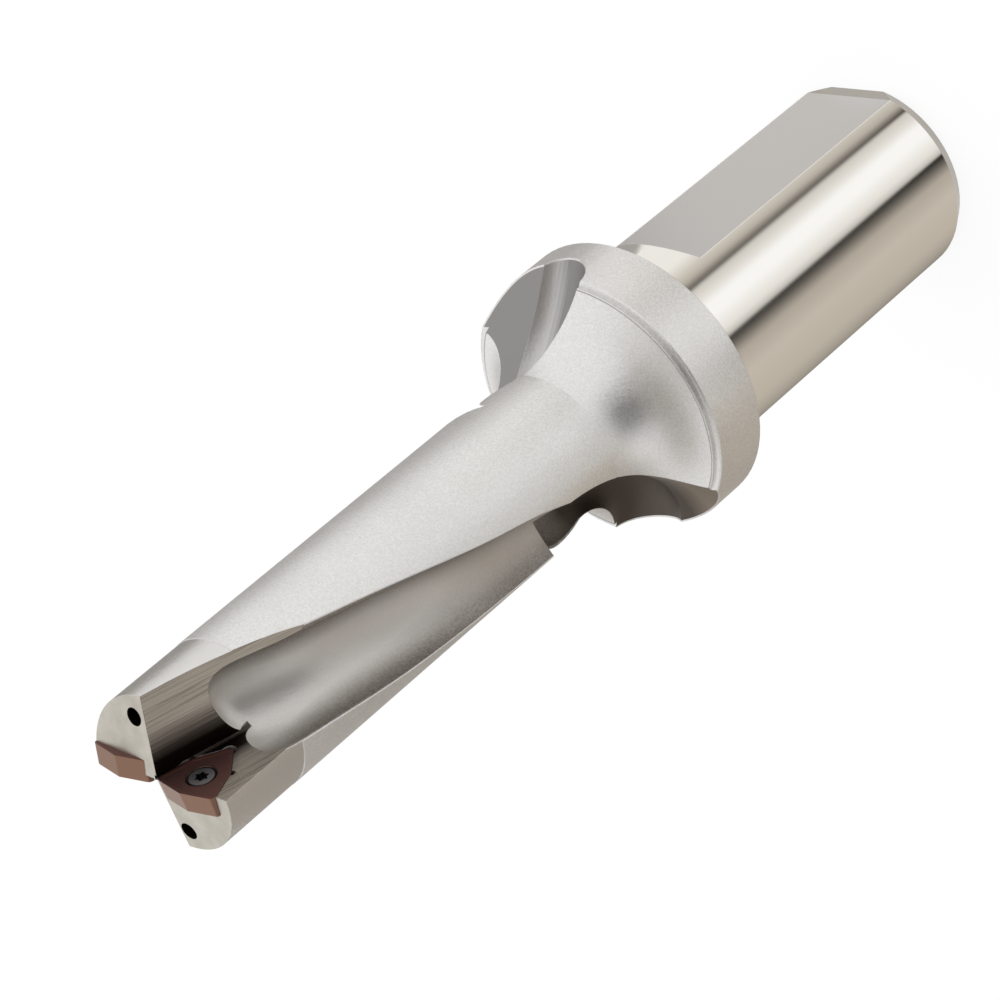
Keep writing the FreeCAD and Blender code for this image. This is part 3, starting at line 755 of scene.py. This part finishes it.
def set_camera(context, settings):
    """The photograph's view: a long lens that looks down on the tip with the camera rolled."""
    data = bpy.data.cameras.new("view")
    data.lens = settings.lens
    data.sensor_width = SENSOR_WIDTH
    data.clip_start = 10 * MM
    data.clip_end = 20.0
    camera = bpy.data.objects.new("view", data)
    context.scene.collection.objects.link(camera)
    turn = Matrix((CAMERA_RIGHT, CAMERA_UP, CAMERA_BACK)).transposed().to_4x4()
    camera.matrix_world = Matrix.Translation(CAMERA_PLACE * MM) @ turn
    context.scene.camera = camera


class DRILL_OT_set_stage(bpy.types.Operator):
    """Lay the floor and set the cards, the lamp, the surround and the camera"""
    bl_idname = "drill.set_stage"
    bl_label = "Set the stage"

    def execute(self, context):
        settings = context.scene.drill_stage
        set_floor(context, settings)
        set_fan_card(context)
        for name, corners, code in CARDS:
            face = tuple(range(len(corners)))
            add_card(context, name, corners, [face], plain_card_material(name, code))
        set_key_lamp(context, settings)
        set_surround(context, settings)
        set_camera(context, settings)
        context.scene.view_settings.view_transform = "Standard"
        return {"FINISHED"}


class DRILL_PT_looks(bpy.types.Panel):
    """Sizes, colours and steps of the drill's looks"""
    bl_idname = "DRILL_PT_looks"
    bl_label = "Indexable drill"
    bl_space_type = "VIEW_3D"
    bl_region_type = "UI"
    bl_category = "Drill"

    def draw(self, context):
        for group_name, group in GROUPS.items():
            for setting in group.__annotations__:
                self.layout.prop(getattr(context.scene, group_name), setting)
        for step in STEPS:
            self.layout.operator(step.bl_idname)


STEPS = (DRILL_OT_finish_body, DRILL_OT_finish_inserts, DRILL_OT_finish_screws,
         DRILL_OT_set_stage)
GROUPS = {
    "drill_steel": DrillSteelSettings,
    "drill_inserts": DrillInsertSettings,
    "drill_stage": DrillStageSettings,
}
CLASSES = (*GROUPS.values(), *STEPS, DRILL_PT_looks)


def register():
    """Add the settings, the steps and the panel to Blender."""
    for item in CLASSES:
        bpy.utils.register_class(item)
    for name, group in GROUPS.items():
        setattr(bpy.types.Scene, name, PointerProperty(type=group))


def unregister():
    """Take them out again."""
    for name in GROUPS:
        delattr(bpy.types.Scene, name)
    for item in reversed(CLASSES):
        bpy.utils.unregister_class(item)


def main():
    """Run every step in order."""
    register()
    for step in STEPS:
        group, action = step.bl_idname.split(".")
        getattr(getattr(bpy.ops, group), action)()


if __name__ == "__main__":
    main()
